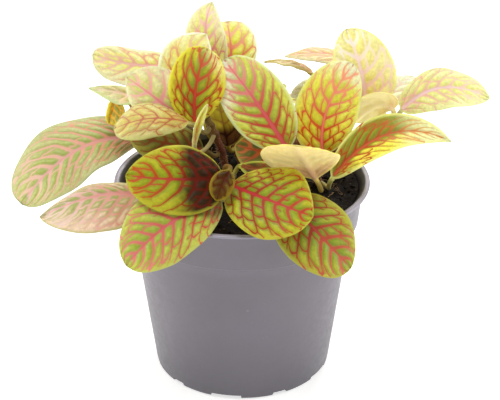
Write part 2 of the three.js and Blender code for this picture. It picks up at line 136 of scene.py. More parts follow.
def newMaterial(name):
    material = bpy.data.materials.new(name)
    material.use_nodes = True
    tree = material.node_tree
    return material, tree, tree.nodes["Principled BSDF"]


def addObject(name, bm, materials):
    mesh = bpy.data.meshes.new(name)
    for face in bm.faces:
        face.smooth = True
    bm.to_mesh(mesh)
    bm.free()
    for material in materials:
        mesh.materials.append(material)
    return linked(bpy.data.objects.new(name, mesh))


def linked(item):
    bpy.context.scene.collection.objects.link(item)
    return item


def dress(piece, node):  # the piece stands for the node, whose own part is hidden
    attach(piece, "root")
    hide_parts(node)


def spun(profile, steps, weld):  # a closed form turned about Z from points (radius, height) in mm
    bm = bmesh.new()
    line = [bm.verts.new(Vector((r, 0, z)) * mm) for r, z in profile]
    edges = [bm.edges.new(pair) for pair in zip(line, line[1:])]
    bmesh.ops.spin(bm, geom=line + edges, cent=(0, 0, 0), axis=(0, 0, 1), angle=2 * math.pi,
                   steps=steps, use_merge=True)
    bmesh.ops.remove_doubles(bm, verts=bm.verts, dist=weld * mm)
    return bm


# Veins of a leaf, drawn along its own rows of side veins: arcs with cross veins between them,
# closed in loops short of the margin. Widths and gaps are in mm, noise scales per metre
veinMake = {
    "wanderScale": 140.0, "wanderCalm": 0.25,  # side veins wander less near the midrib
    "lean": 0.74,  # side veins stand aslant, so they are closer than along the midrib
    "bow": (0.06, 0.46), "bendScale": 300.0, "bend": 0.6,  # cross veins bow more towards the margin
    "loopGap": 0.5, "loopShift": 0.34, "loopThin": -0.55,  # the last loop, and thinner veins beyond it
    "sideTaper": (1.2, 0.5), "midTaper": (1.9, 0.6),  # widths at the start and at the end
    "spurs": 0.34, "spurReach": (0.12, 1.6), "crossWidth": 0.55, "crossFrom": 1.3,
    "jointRound": 0.55, "midribRound": 1.1, "fineCells": 4.0, "fineEdge": (0.11, 0.02),
}


def makeVeinGroup():
    make = veinMake
    knobs, results = ("Width", "Net", "Cell", "Wander"), ("Veins", "Midrib", "Panel", "Margin", "Fine")
    tree, inlet, outlet = newGroup("leafVeins", knobs, results)
    row, side, along = partsOf(tree, "leafPlace")
    acrossMm, marginMm, spacingMm = partsOf(tree, "leafSize")
    spot = objectPlace(tree)
    width, net, cell, wander = (inlet[label] for label in knobs)
    out, awayMm, hand = calc("ABSOLUTE", side), calc("ABSOLUTE", acrossMm), calc("SIGN", side)

    # Side veins wander a little, less near the midrib, and end in the last loop
    drift = times(minus(noiseAt(spot, make["wanderScale"], 0.6), 0.5), wander)
    wandering = plus(row, times(drift, fade(out, 0.0, 0.45, make["wanderCalm"], 1.0)))
    lane, within = calc("FLOOR", wandering), calc("FRACT", wandering)
    middle = calc("ABSOLUTE", minus(within, 0.5))
    sideMm = times(minus(0.5, middle), times(spacingMm, make["lean"]))
    phase = chanceAt(lane, hand)
    bow = calc("MULTIPLY_ADD", times(out, out), make["bow"][1], make["bow"][0])
    bow = times(minus(1.0, times(times(middle, middle), 4.0)), bow)
    bend = calc("MULTIPLY_ADD", noiseAt(spot, make["bendScale"], 1.0), make["bend"], -make["bend"] / 2)
    climb = plus(minus(calc("DIVIDE", awayMm, cell), bow), plus(phase, bend))
    last = calc("DIVIDE", minus(plus(awayMm, marginMm), make["loopGap"]), cell)
    last = calc("FLOOR", plus(last, minus(phase, make["loopShift"])))
    beyondLoop = fade(minus(climb, last), -0.05, 0.15)
    sideWidth = times(width, fade(out, 0.0, 0.9, *make["sideTaper"]))
    sideWidth = times(sideWidth, calc("MULTIPLY_ADD", beyondLoop, make["loopThin"], 1.0))
    sideOff = times(beyondLoop, fade(marginMm, 1.5, 0.6, 0.0, 1.5))
    sideGap = plus(minus(sideMm, sideWidth), sideOff)

    # Cross veins from one side vein to the next, some of them spurs that end between the two
    rung = calc("FLOOR", plus(climb, 0.5))
    rungMm = times(calc("ABSOLUTE", minus(climb, rung)), cell)
    chance = chanceAt(lane, hand, rung)
    whole = calc("MAXIMUM", calc("COMPARE", rung, last, 0.1), calc("GREATER_THAN", chance, make["spurs"]))
    spur = minus(within, calc("MULTIPLY_ADD", chance, make["spurReach"][1], make["spurReach"][0]))
    rungOff = times(fade(spur, -0.2, 0.05, 0.0, 1.2), minus(1.0, whole))
    beyond = calc("GREATER_THAN", rung, plus(last, 0.5))
    tooLow = calc("LESS_THAN", times(minus(rung, phase), cell), make["crossFrom"])
    rungOff = plus(rungOff, times(calc("MAXIMUM", beyond, tooLow), 2.0))
    rungGap = plus(minus(rungMm, times(times(width, net), make["crossWidth"])), rungOff)

    # Midrib, wide at the base and fine at the tip; all joints are rounded off
    midWidth = times(width, fade(along, -0.05, 1.0, *make["midTaper"]))
    midOff = plus(fade(along, 0.93, 1.0, 0.0, 1.5), fade(along, 0.03, -0.02, 0.0, 3.0))
    midGap = plus(minus(awayMm, midWidth), midOff)
    gap = calc("SMOOTH_MIN", sideGap, rungGap, make["jointRound"])
    gap = calc("SMOOTH_MIN", gap, midGap, make["midribRound"])

    # Finest net inside the cells
    finePlace = joined(times(wandering, make["fineCells"]), awayMm, side)
    fineNet = fedNode("TexVoronoi", {"Vector": finePlace, "Scale": 1.0, "Randomness": 0.8},
                      voronoi_dimensions="2D", feature="DISTANCE_TO_EDGE").outputs["Distance"]
    fine = times(fade(fineNet, *make["fineEdge"]), fade(along, 0.0, 0.05))
    setInputs(outlet, {
        "Veins": fade(gap, 0.13, -0.10), "Midrib": fade(midGap, 0.1, -0.35), "Panel": fade(gap, 0.0, 1.25),
        "Margin": fade(marginMm, 1.5, 0.2), "Fine": fine})
    return tree


# Blade colours over the leaf: stalk, base, panels between the veins, margin side and tip; a pale tip colour is
# partly the leaf's own colour and partly painted sheen
bladeMake = {
    "cloudScale": 95.0, "cloud": 0.9, "panelShade": 0.22, "drift": 0.44,
    "tipFade": 0.35, "tipShare": 0.9, "baseFade": (0.08, -0.18),
    "speckScale": 900.0, "speck": (0.90, 1.08), "grainScale": 2600.0,
}


def makeBladeGroup():
    make = bladeMake
    tree, inlet, outlet = newGroup(
        "bladeColours",
        ("Inner", "Outer", "Base", "Base Reach", "Tip", "Tip Start", "Tip Side", "Stalk", "Half", "Panel"),
        ("Color", "Mottle", "Grain", "Tipward", "At Base", "Blade"),
        colours=("Inner", "Outer", "Base", "Tip", "Stalk", "Color"))
    _, side, along = partsOf(tree, "leafPlace")
    spot = objectPlace(tree)
    cloudy = noiseAt(spot, make["cloudScale"], 3.0, 0.6)
    spread = plus(calc("ABSOLUTE", side), times(cloudy, make["cloud"]))
    spread = plus(spread, times(side, inlet["Half"]))
    spread = plus(spread, fade(inlet["Panel"], 0.0, 1.0, -make["panelShade"], make["panelShade"]))
    blade = mixColour(fade(spread, 0.55, 1.35), inlet["Inner"], inlet["Outer"])
    shift = calc("MULTIPLY_ADD", cloudy, make["drift"], -make["drift"] / 2)
    reach = plus(along, shift)
    # the Tip colour from Tip Start on: a pale tip is partly the leaf's own colour and partly painted sheen
    atTip = calc("MULTIPLY_ADD", side, inlet["Tip Side"], along)
    atTip = minus(calc("MULTIPLY_ADD", shift, 0.6, atTip), inlet["Tip Start"])
    blade = mixColour(fade(atTip, 0.0, make["tipFade"], 0.0, make["tipShare"]), blade, inlet["Tip"])
    atBase = fade(minus(reach, inlet["Base Reach"]), *make["baseFade"])
    blade = mixColour(atBase, blade, inlet["Base"])
    shade = fade(noiseAt(spot, make["speckScale"], 2.0), 0.3, 0.7, *make["speck"])
    blade = mixColour(1.0, blade, joined(shade, shade, shade), "MULTIPLY")
    onBlade = fade(along, -0.035, 0.02)
    grain = fedNode("TexVoronoi", {"Vector": spot, "Scale": make["grainScale"]}).outputs["Distance"]
    setInputs(outlet, {
        "Color": mixColour(onBlade, inlet["Stalk"], blade), "Mottle": cloudy, "Grain": grain,
        "Tipward": fade(reach, 0.25, 0.95), "At Base": atBase, "Blade": onBlade})
    return tree


veinGroup = makeVeinGroup()
bladeGroup = makeBladeGroup()

# Leaf finishes: inner and outer colours of the panels, base, margin, veins, their tips and the midrib.
# A finish names the rest only where it differs from finishPlain: reach is how far the base colour
# goes, width that of a side vein in mm, net is from 0 to 1, half moves the inner colour to one side,
# tip colours the blade from tipStart on (a pale tip: own colour and painted sheen), under and underShare colour
# the underside.
# About two thirds of these colours were not chosen by hand: a scratch program scaled the typed ones
# by the ratio of photo to render that it measured on each leaf
finishPlain = {
    "reach": 0.2, "width": 0.42, "net": 0.85, "cell": 3.1, "wander": 0.55, "half": 0.0, "halo": 0.3,
    "tipStart": 0.8, "tipSide": 0.0, "gloss": 0.26, "stalk": "#5e3522", "under": "#cfc988", "underShare": 0.4,
}
leafFinishes = {
    "limeRed": dict(inner="#819817", outer="#b4b326", base="#826b1e", margin="#bab43c", vein="#9a2911",
        veinTip="#b9401f", rib="#c22432", reach=0.12, width=0.36, net=0.95, cell=2.6),
    "maroonBase": dict(inner="#899a1b", outer="#b0af2b", base="#32220c", margin="#b4b036", vein="#9a3618",
        veinTip="#b85023", rib="#b83a38", reach=0.5, width=0.37, net=0.95, veinBase="#601807", cell=2.5,
        gloss=0.1),
    "limePink": dict(inner="#90a635", outer="#b3ba48", base="#867938", margin="#b4b862", vein="#ba4335",
        veinTip="#ce786f", rib="#cd5461", width=0.4, net=0.8),
    "leafGreenRed": dict(inner="#789124", outer="#a5a630", base="#68571d", margin="#a6a440",
        vein="#9d2f17", veinTip="#b7583f", rib="#ba4339", width=0.4, net=0.8),
    "bronze": dict(inner="#543b0d", outer="#745a16", base="#3c2c0d", margin="#99841f", vein="#521b04",
        veinTip="#593208", rib="#522306", reach=0.3, width=0.26, net=0.9, cell=1.8, gloss=0.1),
    "greyGreenPink": dict(inner="#99ab57", outer="#b8bc83", base="#84723e", margin="#aeb48c",
        vein="#d2937e", veinTip="#d9b3a6", rib="#d69791", reach=0.22, width=0.5, net=0.6, cell=3.6,
        wander=0.8),
    "salmon": dict(inner="#98a455", outer="#d8bca2", base="#af8f5f", margin="#a7a666", vein="#ce9483",
        veinTip="#d5b9ad", rib="#d49086", reach=0.15, width=0.5, net=0.9, half=0.15, wander=0.8),
    "peach": dict(inner="#d9d298", outer="#ddd9a5", base="#ccc276", margin="#cbdf9c", vein="#f7ceb4",
        veinTip="#f7ecd9", rib="#f7d3c3", reach=0.4, width=0.28, net=0.6),
    # its darker olive inner colour, moved to one half by half, is painted shade on the shaded half of the
    # folded blade
    "amber": dict(inner="#989c3c", outer="#eccf36", base="#8d7713", margin="#f2d84a", vein="#eba123",
        veinTip="#f5bc2c", rib="#f0ac2c", reach=0.3, width=0.26, net=0.6, half=-0.6),
    "shadedRed": dict(inner="#757526", outer="#a6a133", base="#4b3e1a", margin="#ccd34f", vein="#83461f",
        veinTip="#955d26", rib="#8c4f29", reach=0.3, gloss=0.12),
    "shadedGreen": dict(inner="#54702f", outer="#9a9044", base="#593417", margin="#d3c455", vein="#c25028",
        veinTip="#de824c", rib="#c2502b", reach=0.3, width=0.46),
    "darkCentre": dict(inner="#8a991b", outer="#d3c929", base="#cebb3a", margin="#dfda3e", vein="#b8360b",
        veinTip="#c45a34", rib="#cb4230", reach=0.12, width=0.4, net=0.9, cell=2.6, tip="#e9e394",
        tipStart=0.77, tipSide=-0.25),
    "paleStreak": dict(inner="#c4c96f", outer="#dad39e", base="#c3c160", margin="#d7d9a9", vein="#dc908f",
        veinTip="#e1b39d", rib="#d87c7d", net=0.5),
    "creamOrange": dict(inner="#ccbd61", outer="#d2c983", base="#bea851", margin="#c1c270", vein="#b1603b",
        veinTip="#bc8463", rib="#b26644", width=0.21, net=0.95, cell=2.2),
    "curled": dict(inner="#d8d23b", outer="#e4e35e", base="#d6b639", margin="#e8e799", vein="#f79f6d",
        veinTip="#f7cb97", rib="#f79f84", reach=0.3, width=0.3, net=0.4),
    "yellowRose": dict(inner="#f7f17f", outer="#f7f5af", base="#dfb44c", margin="#f7f5df", vein="#e28d63",
        veinTip="#f7cca9", rib="#f5bfb3", width=0.36, net=0.9),
    "paleRose": dict(inner="#e6e683", outer="#e8e2b3", base="#c8c459", margin="#e6e6bc", vein="#da9b86",
        veinTip="#e7c4ae", rib="#e5b6b2", reach=0.25),
    "tipRose": dict(inner="#dfe678", outer="#e9e2a4", base="#dfde5a", margin="#ebe7bd", vein="#dc8c8c",
        veinTip="#f5d2c5", rib="#e8a4a8", width=0.5, net=0.7),
    "goldRed": dict(inner="#dcde4c", outer="#edf196", base="#d9ce3b", margin="#f1f5db", vein="#d86c45",
        veinTip="#e6b794", rib="#e17967", tip="#f0eeb4"),
    "greenRose": dict(inner="#a3b13a", outer="#ccd254", base="#9ba12c", margin="#d7e0b0", vein="#c14938",
        veinTip="#dc9084", rib="#d85c66", reach=0.12, width=0.5, net=0.4, cell=3.8, tip="#efe9d4",
        tipStart=0.68, tipSide=0.3),
    "limeRose": dict(inner="#c9c830", outer="#dcd847", base="#b7af2d", margin="#e1e28d", vein="#c54819",
        veinTip="#eb986f", rib="#f08171", reach=0.15, width=0.37, net=0.95, cell=2.9, tip="#f1f0d9",
        tipStart=0.72),
    "creamBack": dict(inner="#f7d779", outer="#f7e087", base="#b8845c", margin="#f7e462", vein="#dc9c78",
        veinTip="#e2b080", rib="#dc9484", reach=0.3, width=0.34, net=0.6, under="#f0dc9c",
        underShare=0.85),
    "splitGreen": dict(inner="#8d9823", outer="#f5ed52", base="#8b902e", margin="#f7f795", vein="#b54b13",
        veinTip="#e0aa61", rib="#d4633d", width=0.4, net=0.9, half=-1.1, tip="#f7f4bd", tipStart=0.5),
    "paleYellow": dict(inner="#eade80", outer="#eee39c", base="#eadaa8", margin="#ebe687", vein="#eec5bc",
        veinTip="#f7ead5", rib="#f6d9d9", reach=0.25, width=0.44),
    "paleLime": dict(inner="#e1e384", outer="#e9e7a8", base="#d7d591", margin="#dfe59d", vein="#e2b3a2",
        veinTip="#e7cdb2", rib="#e9cdd2", width=0.44, net=0.8),
    "paleApricot": dict(inner="#e0c68c", outer="#e4d3a4", base="#bda660", margin="#d5ce9f", vein="#cc8d74",
        veinTip="#d8af92", rib="#cc967d", width=0.3, net=0.8),
    "greyRose": dict(inner="#cfd2ac", outer="#e0e0c6", base="#c4c29a", margin="#e4e4d0", vein="#c7aa91",
        veinTip="#cfc5aa", rib="#c7af99", width=0.38, net=0.7),
    "shadedOlive": dict(inner="#7a7c34", outer="#9a963c", base="#4b3e1a", margin="#8f8c40", vein="#83421f",
        veinTip="#8a5428", rib="#8c4726", reach=0.3, width=0.36, net=0.7, gloss=0.12),
    "oliveTip": dict(inner="#dcc88c", outer="#e4d5a6", base="#c8b070", margin="#b9aa5c", vein="#cc8d74",
        veinTip="#a8843c", rib="#cc967d", width=0.26, net=0.6, tip="#a89434", tipStart=0.42,
        tipSide=-0.35),
    "paleBack": dict(inner="#f4e08e", outer="#f6e69a", base="#e8c880", margin="#f4e694", vein="#ecc8a8",
        veinTip="#f0d4ac", rib="#ecc4b0", width=0.34, net=0.6, under="#f6e8ae", underShare=0.8),
    "darkOlive": dict(inner="#ccc040", outer="#d2c644", base="#6e4a2a", margin="#c4b840", vein="#a87c34",
        veinTip="#bca446", rib="#a06c30", reach=0.45, width=0.22, net=0.3, veinBase="#3a160a", gloss=0.1),
}

bladeSkin = {  # pairs are for the upper side and the underside
    "veinInk": (0.97, 0.45), "midribInk": 0.8, "fineInk": 0.14, "marginInk": 0.7, "baseUnder": -0.6,
    "glow": (0.03, 0.16),  # light that comes through the blade
    "rough": (0.36, 0.50), "moreRough": (0.0, 0.15),
    "relief": (0.9, -0.8), "grain": 0.10, "fine": -0.08, "bump": 0.6, "depth": 0.0005,
    "scatter": 0.35, "scatterRadius": (1.0, 0.85, 0.25), "scatterScale": 0.0012,
}


def makeBladeMaterial(name, finish, isUnder):
    make = bladeSkin
    material, tree, shader = newMaterial(name)
    veins = addNode(tree, "Group", node_tree=veinGroup)
    setInputs(veins, {key.capitalize(): finish[key] for key in ("width", "net", "cell", "wander")})
    veins = veins.outputs
    blade = addNode(tree, "Group", node_tree=bladeGroup)
    for key in ("inner", "outer", "base", "tip", "stalk"):
        setInputs(blade, {key.capitalize(): colour(finish[key])})
    labels = {"Base Reach": "reach", "Tip Start": "tipStart", "Tip Side": "tipSide", "Half": "half"}
    setInputs(blade, {label: finish[key] for label, key in labels.items()})
    setInputs(blade, {"Panel": veins["Panel"]})
    blade = blade.outputs
    red = mixColour(blade["Tipward"], finish["vein"], finish["veinTip"])
    red = mixColour(times(veins["Midrib"], make["midribInk"]), red, finish["rib"])
    if "veinBase" in finish:
        red = mixColour(blade["At Base"], red, finish["veinBase"])
    veined = mixColour(times(veins["Fine"], make["fineInk"] * finish["net"]), blade["Color"], red)
    halo = fade(veins["Panel"], 0.5, 0.0, 0.0, finish["halo"])
    veined = mixColour(times(halo, blade["Blade"]), veined, red)
    veined = mixColour(times(veins["Margin"], make["marginInk"]), veined, finish["margin"])
    inked = times(veins["Veins"], make["veinInk"][isUnder])
    veined = mixColour(times(inked, blade["Blade"]), veined, red)
    if isUnder:
        share = times(calc("MULTIPLY_ADD", blade["At Base"], make["baseUnder"], 1.0), finish["underShare"])
        veined = mixColour(times(blade["Blade"], share), veined, finish["under"])
    rough = fade(blade["Mottle"], 0.3, 0.7, *make["rough"])
    height = plus(times(veins["Panel"], make["relief"][isUnder]), times(blade["Grain"], make["grain"]))
    height = plus(height, times(veins["Fine"], make["fine"]))
    setInputs(shader, {
        "Base Color": veined, "Emission Color": veined, "Emission Strength": make["glow"][isUnder],
        "Roughness": plus(rough, make["moreRough"][isUnder]),
        "Normal": bumpFrom(height, make["bump"], make["depth"]),
        "Subsurface Weight": make["scatter"], "Subsurface Radius": make["scatterRadius"],
        "Subsurface Scale": make["scatterScale"], "Specular IOR Level": finish["gloss"]})
    return material


bladeMaterials = {}
for look, colours in leafFinishes.items():
    finish = {**finishPlain, "tip": colours["outer"], **colours}
    bladeMaterials[look] = (makeBladeMaterial(look + "Upper", finish, False),
                            makeBladeMaterial(look + "Under", finish, True))
print("leaf finishes ready:", len(bladeMaterials))

# Stems, as curves from the foot in the soil to the tip, in mm
stems = {
    "stem_front": [(-4, 3, 59), (-4, -3, 76), (-5, -15, 79), (-3.5, -24, 83.5)],
    "stem_upper": [(-5, 10, 59), (-5, 8, 74), (-8, 4, 86), (-14.5, 3, 97)],
    "stem_centre": [(2, 16, 59), (1, 16, 76), (-10, 15, 86), (-12, 13, 103)],
    "stem_right": [(27, 5, 59), (28, 2, 70), (26, -6, 74), (23, -9.5, 83)],
    "stem_far_right": [(26, 18, 59), (28, 18, 78), (42, 13, 80), (50, 7, 93)],
    "stem_left": [(-22, 14, 59), (-24, 14, 74), (-29, 16, 80), (-32, 16, 92)],
    "stem_low_left": [(-16, -4, 59), (-16, -6, 73), (-21, -11, 74), (-27, -15, 75)],
    "stem_back": [(4, 27, 59), (4, 28, 72), (2, 32, 78), (0, 35, 84)],
    "stem_back_left": [(-14, 27, 59), (-14, 28, 70), (-19, 31, 75), (-23, 34, 80)],
    "stem_back_right": [(16, 25, 59), (18, 25, 80), (30, 24, 84), (40, 21, 98)],
}


def bezier(points, t):  # point and direction on a curve of three or four points
    points = [Vector(p) for p in points]
    while len(points) > 2:
        points = [a.lerp(b, t) for a, b in zip(points, points[1:])]
    return points[0].lerp(points[1], t), (points[1] - points[0]).normalized()


# Leaves, in mm: at is the leaf's place on its stem from 0 to 1, base, mid and tip lie on the midrib,
# half is the half width to its right and left, face is where the upper side looks, wide is where the
# blade is widest, ends shape its two ends, fold lifts both halves in a V in degrees, cup bends them
# further, wave is the height and number of ripples of the margins, sweep leans the side veins
leafColumns = ("look", "stem", "at", "base", "mid", "tip",
               "half", "face", "wide", "ends", "fold", "cup", "wave", "sweep")
leafRows = {
    1: ("maroonBase", "stem_front", 0.87, (-6, -30, 86.5), (-21, -37, 89), (-37.5, -36, 90),
        (12, 12), (0, -0.75, 0.65), 0.45, (0.45, 0.6), 6, -2),
    2: ("limeRed", "stem_front", 0.9, (-3.5, -30, 83.5), (10, -42, 83.5), (23, -46, 80),
        (13, 13.8), (0.1, -0.7, 0.7), 0.5, (0.5, 0.65), 4, -2, (0.6, 1.5)),
    3: ("limePink", "stem_front", 0.7, (-7, -31, 78.5), (-23.7, -46, 77), (-37.2, -49, 63.7),
        (12.5, 12), (-0.1, -0.75, 0.65), 0.52, (0.6, 0.5), 5, -2, (0.8, 2)),
    4: ("leafGreenRed", "stem_front", 0.5, (14.8, -34, 80), (25.3, -44, 72.6), (35.7, -45, 60.6),
        (12.8, 12.5), (0.3, -0.75, 0.6), 0.42, (0.35, 0.5), 5, -2, (0.7, 1.5)),
    5: ("bronze", "stem_front", 0.98, (-4, -33, 90), (-6.5, -38, 87), (-8, -39, 82.5),
        (4, 4), (0, -0.8, 0.6), 0.45, (0.5, 0.6), 8, -0.5),
    6: ("greyGreenPink", "stem_left", 0.42, (-35, 24, 76.5), (-59, 14, 76.5), (-78.5, 2, 60.5),
        (15.2, 12), (-0.15, -0.55, 0.8), 0.6, (0.8, 0.42), 4, -2, (1.1, 2)),
    7: ("salmon", "stem_low_left", 0.95, (-32.2, -24, 76.2), (-48.2, -28, 78.6), (-68.5, -22, 67.5),
        (5.5, 13.5), (0, -0.6, 0.8), 0.45, (0.6, 0.75), 4, -2, (0.7, 2)),
    8: ("peach", "stem_left", 0.95, (-36, 12, 96.5), (-44.5, 16, 98), (-54.5, 18, 98.5),
        (4, 4), (0, -0.5, 0.85), 0.4, (0.6, 1), -10, -1),
    9: ("amber", "stem_left", 0.8, (-45, 21, 95), (-46.5, 21, 89.5), (-48, 20, 84),
        (2.2, 6.2), (-0.5, -0.85, 0), 0.6, (0.8, 0.4), 10, 0),
    10: ("shadedOlive", "stem_upper", 0.5, (-13.5, -2, 83.5), (-27, 2, 84.5), (-40, 6, 86),
        (8, 8), (0, -0.7, 0.7), 0.45, (0.6, 0.75), 4, -1),
    11: ("darkCentre", "stem_upper", 0.97, (-16, -4.5, 95), (-15.6, -2, 107.5), (-11.8, 6, 118),
        (10, 9.5), (0.05, -0.95, 0.35), 0.52, (0.6, 0.42), 8, -1, (0, 0), 0.27),
    12: ("paleStreak", "stem_upper", 0.9, (-20.6, -3.6, 95.8), (-30.2, -1, 103.2), (-40, 8, 106.8),
        (11, 8), (-0.2, -0.8, 0.55), 0.45, (0.5, 0.75), 5, -1, (0.6, 1.5)),
    13: ("creamOrange", "stem_upper", 0.8, (-18.4, -9.6, 97.3), (-31.1, -14, 100.6), (-42.9, -13, 96.2),
        (10.8, 6.8), (-0.1, -0.4, 0.9), 0.58, (0.55, 0.36), -8, -1.5),
    14: ("curled", "stem_upper", 0.7, (-16, -14, 91.5), (-14.5, -14, 99.5), (-11.5, -12, 105),
        (2, 2), (0.3, -0.9, 0), 0.5, (0.5, 0.7), 45, 0),
    15: ("yellowRose", "stem_centre", 0.9, (-18, 7, 103), (-19.3, 7.5, 111.5), (-12.4, 14, 120.3),
        (10.5, 9.5), (0, -0.9, 0.4), 0.5, (0.5, 0.75), 5, -1, (0.8, 1.5)),
    16: ("tipRose", "stem_centre", 0.98, (-7, 16, 103.5), (-12.5, 17, 117.5), (-10.5, 27, 127.5),
        (7, 7.5), (0, -0.9, 0.4), 0.45, (0.6, 0.8), 5, -1),
    17: ("goldRed", "stem_centre", 0.88, (-5, 19, 101), (-3.9, 20, 111.6), (-5.5, 28, 119.9),
        (9.5, 11), (0.2, -0.9, 0.4), 0.58, (0.5, 0.3), 5, -1),
    18: ("paleRose", "stem_centre", 0.85, (-24.5, 14, 108.6), (-38.6, 20, 106.9), (-52.7, 19, 110.8),
        (6.5, 8.5), (0, -0.7, 0.7), 0.5, (0.4, 0.4), 4, -1, (0.8, 1.5)),
    19: ("greenRose", "stem_right", 0.97, (15.5, -10, 87.5), (5.5, -5, 102), (-6, 8, 113),
        (11, 11), (-0.05, -0.9, 0.45), 0.5, (0.55, 0.45), 4, -1.5),
    20: ("limeRose", "stem_right", 0.7, (28, -7.5, 84.5), (29, -5, 100), (38.5, 9, 111),
        (10.8, 11), (-0.05, -0.9, 0.4), 0.5, (0.5, 0.5), 6, -1),
    21: ("creamBack", "stem_right", 0.6, (25, -19, 80.7), (19.5, -28.5, 94), (17.5, -42, 103),
        (13, 13), (0.1, 0.85, 0.5), 0.5, (0.8, 0.45), 0, -1),
    22: ("splitGreen", "stem_right", 0.5, (31, -14, 78.5), (49.5, -12, 94), (71.5, -8, 89.5),
        (7.2, 7), (-0.3, -0.8, 0.6), 0.4, (0.6, 0.9), 18, 0, (0.6, 2)),
    23: ("shadedRed", "stem_front", 0.5, (-0.5, -8.6, 80.5), (13, -16.8, 80), (23, -22, 75),
        (5, 4.5), (0, -0.7, 0.7), 0.5, (0.6, 0.7), 4, -1),
    24: ("paleYellow", "stem_far_right", 0.85, (43, 8, 94.5), (41.5, 10, 108), (36.5, 21, 119.5),
        (12, 10), (0, -0.9, 0.4), 0.45, (0.5, 0.55), 5, -1, (0.8, 1.5)),
    25: ("paleApricot", "stem_back_right", 0.98, (42, 22, 106.5), (29, 25, 109), (15.5, 27, 107),
        (6, 6), (0, -0.1, 1), 0.45, (0.6, 0.8), 4, -1),
    26: ("oliveTip", "stem_back_right", 0.9, (25, 26, 101), (18, 28, 104.5), (8, 28, 104.5),
        (5, 5), (0, 0.2, 1), 0.45, (0.6, 0.8), 4, -1),
    27: ("paleLime", "stem_far_right", 0.98, (55.5, 4, 96), (69, 4, 104.5), (86.5, 10, 98),
        (8, 7.5), (-0.1, -0.7, 0.7), 0.5, (0.5, 0.65), 5, -1, (0.8, 2)),
    28: ("paleBack", "stem_far_right", 0.9, (52, 0.6, 97.8), (46.7, 2.2, 98.8), (39, 6, 90.8),
        (9, 7), (0, 0.9, 0.4), 0.5, (0.45, 0.5), 3, -1),
    29: ("greyRose", "stem_far_right", 0.8, (48, 20, 88), (56, 30, 94), (63, 38, 95),
        (7, 7), (0, 0, 1), 0.5, (0.6, 0.7), 4, -1),
    30: ("greyRose", "stem_back_right", 0.7, (32.3, 31, 95.8), (25.8, 31, 93.9), (17.7, 28, 91.2),
        (4.5, 5), (0, -0.5, 0.8), 0.5, (0.6, 0.7), 4, -1),
    31: ("shadedGreen", "stem_right", 0.8, (14.5, -6.8, 82.6), (6.5, -4, 84), (-2.3, 0, 84.4),
        (8, 8), (0, -0.7, 0.7), 0.5, (0.6, 0.7), 4, -1),
    32: ("greenRose", "stem_back", 0.95, (-5, 39, 85), (-13, 49, 85), (-21, 58, 77),
        (10, 10), (-0.1, 0.5, 0.85), 0.5, (0.55, 0.6), 5, -2, (0.7, 1.5)),
    33: ("limeRose", "stem_back", 0.95, (4, 39, 85), (14, 48, 84), (24, 55, 76),
        (10, 10), (0.2, 0.5, 0.85), 0.5, (0.55, 0.6), 5, -2, (0.8, 2)),
    34: ("limePink", "stem_back", 0.7, (1, 40, 77), (2, 53, 76.5), (3, 63, 66),
        (10, 10), (0, 0.5, 0.85), 0.5, (0.55, 0.6), 5, -2, (0.7, 2)),
    35: ("limeRed", "stem_back_left", 0.95, (-27, 37, 81.5), (-35, 46, 81), (-43, 54, 72),
        (9, 9), (-0.3, 0.4, 0.85), 0.5, (0.55, 0.6), 5, -2, (0.8, 1.5)),
    36: ("leafGreenRed", "stem_back_left", 0.7, (-20, 39, 76), (-24, 51, 76), (-29, 61, 66),
        (9, 9), (-0.1, 0.5, 0.85), 0.5, (0.55, 0.6), 5, -2),
    37: ("greenRose", "stem_back_right", 0.5, (34, 30, 82), (45, 36, 83), (56, 40, 76),
        (9, 9), (0.3, 0.3, 0.85), 0.5, (0.55, 0.6), 5, -2, (0.8, 2)),
    38: ("limeRed", "stem_back_right", 0.3, (23, 33, 79), (30, 45, 79.5), (36, 56, 71),
        (9, 9), (0.2, 0.5, 0.85), 0.5, (0.55, 0.6), 5, -2),
    39: ("limePink", "stem_left", 0.5, (-36, 34, 78), (-48, 38, 79), (-58, 40, 72),
        (8, 8), (-0.3, 0.3, 0.85), 0.5, (0.55, 0.6), 5, -2),
    40: ("goldRed", "stem_centre", 0.8, (-9, 20, 98), (-8, 31, 103), (-6, 42, 99),
        (9, 9), (0, -0.2, 1), 0.5, (0.55, 0.6), 5, -2, (0.6, 1.5)),
    41: ("greenRose", "stem_centre", 0.7, (-18, 22, 95), (-27, 31, 98), (-36, 38, 93),
        (9, 9), (-0.2, 0, 1), 0.5, (0.55, 0.6), 5, -2),
    42: ("tipRose", "stem_centre", 0.5, (5, 19, 88), (12, 27, 89), (19, 35, 83),
        (7, 7), (0.2, 0.2, 1), 0.5, (0.55, 0.6), 5, -1),
    43: ("leafGreenRed", "stem_back", 0.98, (-4, 33, 91), (-11, 38, 95), (-18, 45, 94),
        (6.5, 6.5), (0, 0, 1), 0.5, (0.55, 0.6), 5, -1),
    44: ("leafGreenRed", "stem_back", 0.98, (5, 35, 88), (10, 43, 90), (14, 51, 87),
        (6, 6), (0.2, 0.2, 1), 0.5, (0.55, 0.6), 5, -1),
    45: ("darkOlive", "stem_centre", 0.4, (-5, 8.5, 80.4), (-6.7, 9, 89.1), (-8.4, 11, 97.4),
        (8.5, 7), (0.05, -0.95, 0.3), 0.5, (0.5, 0.5), 3, -0.5),
}
leaves = {f"leaf_{number:02d}": dict(zip(leafColumns, row)) for number, row in leafRows.items()}
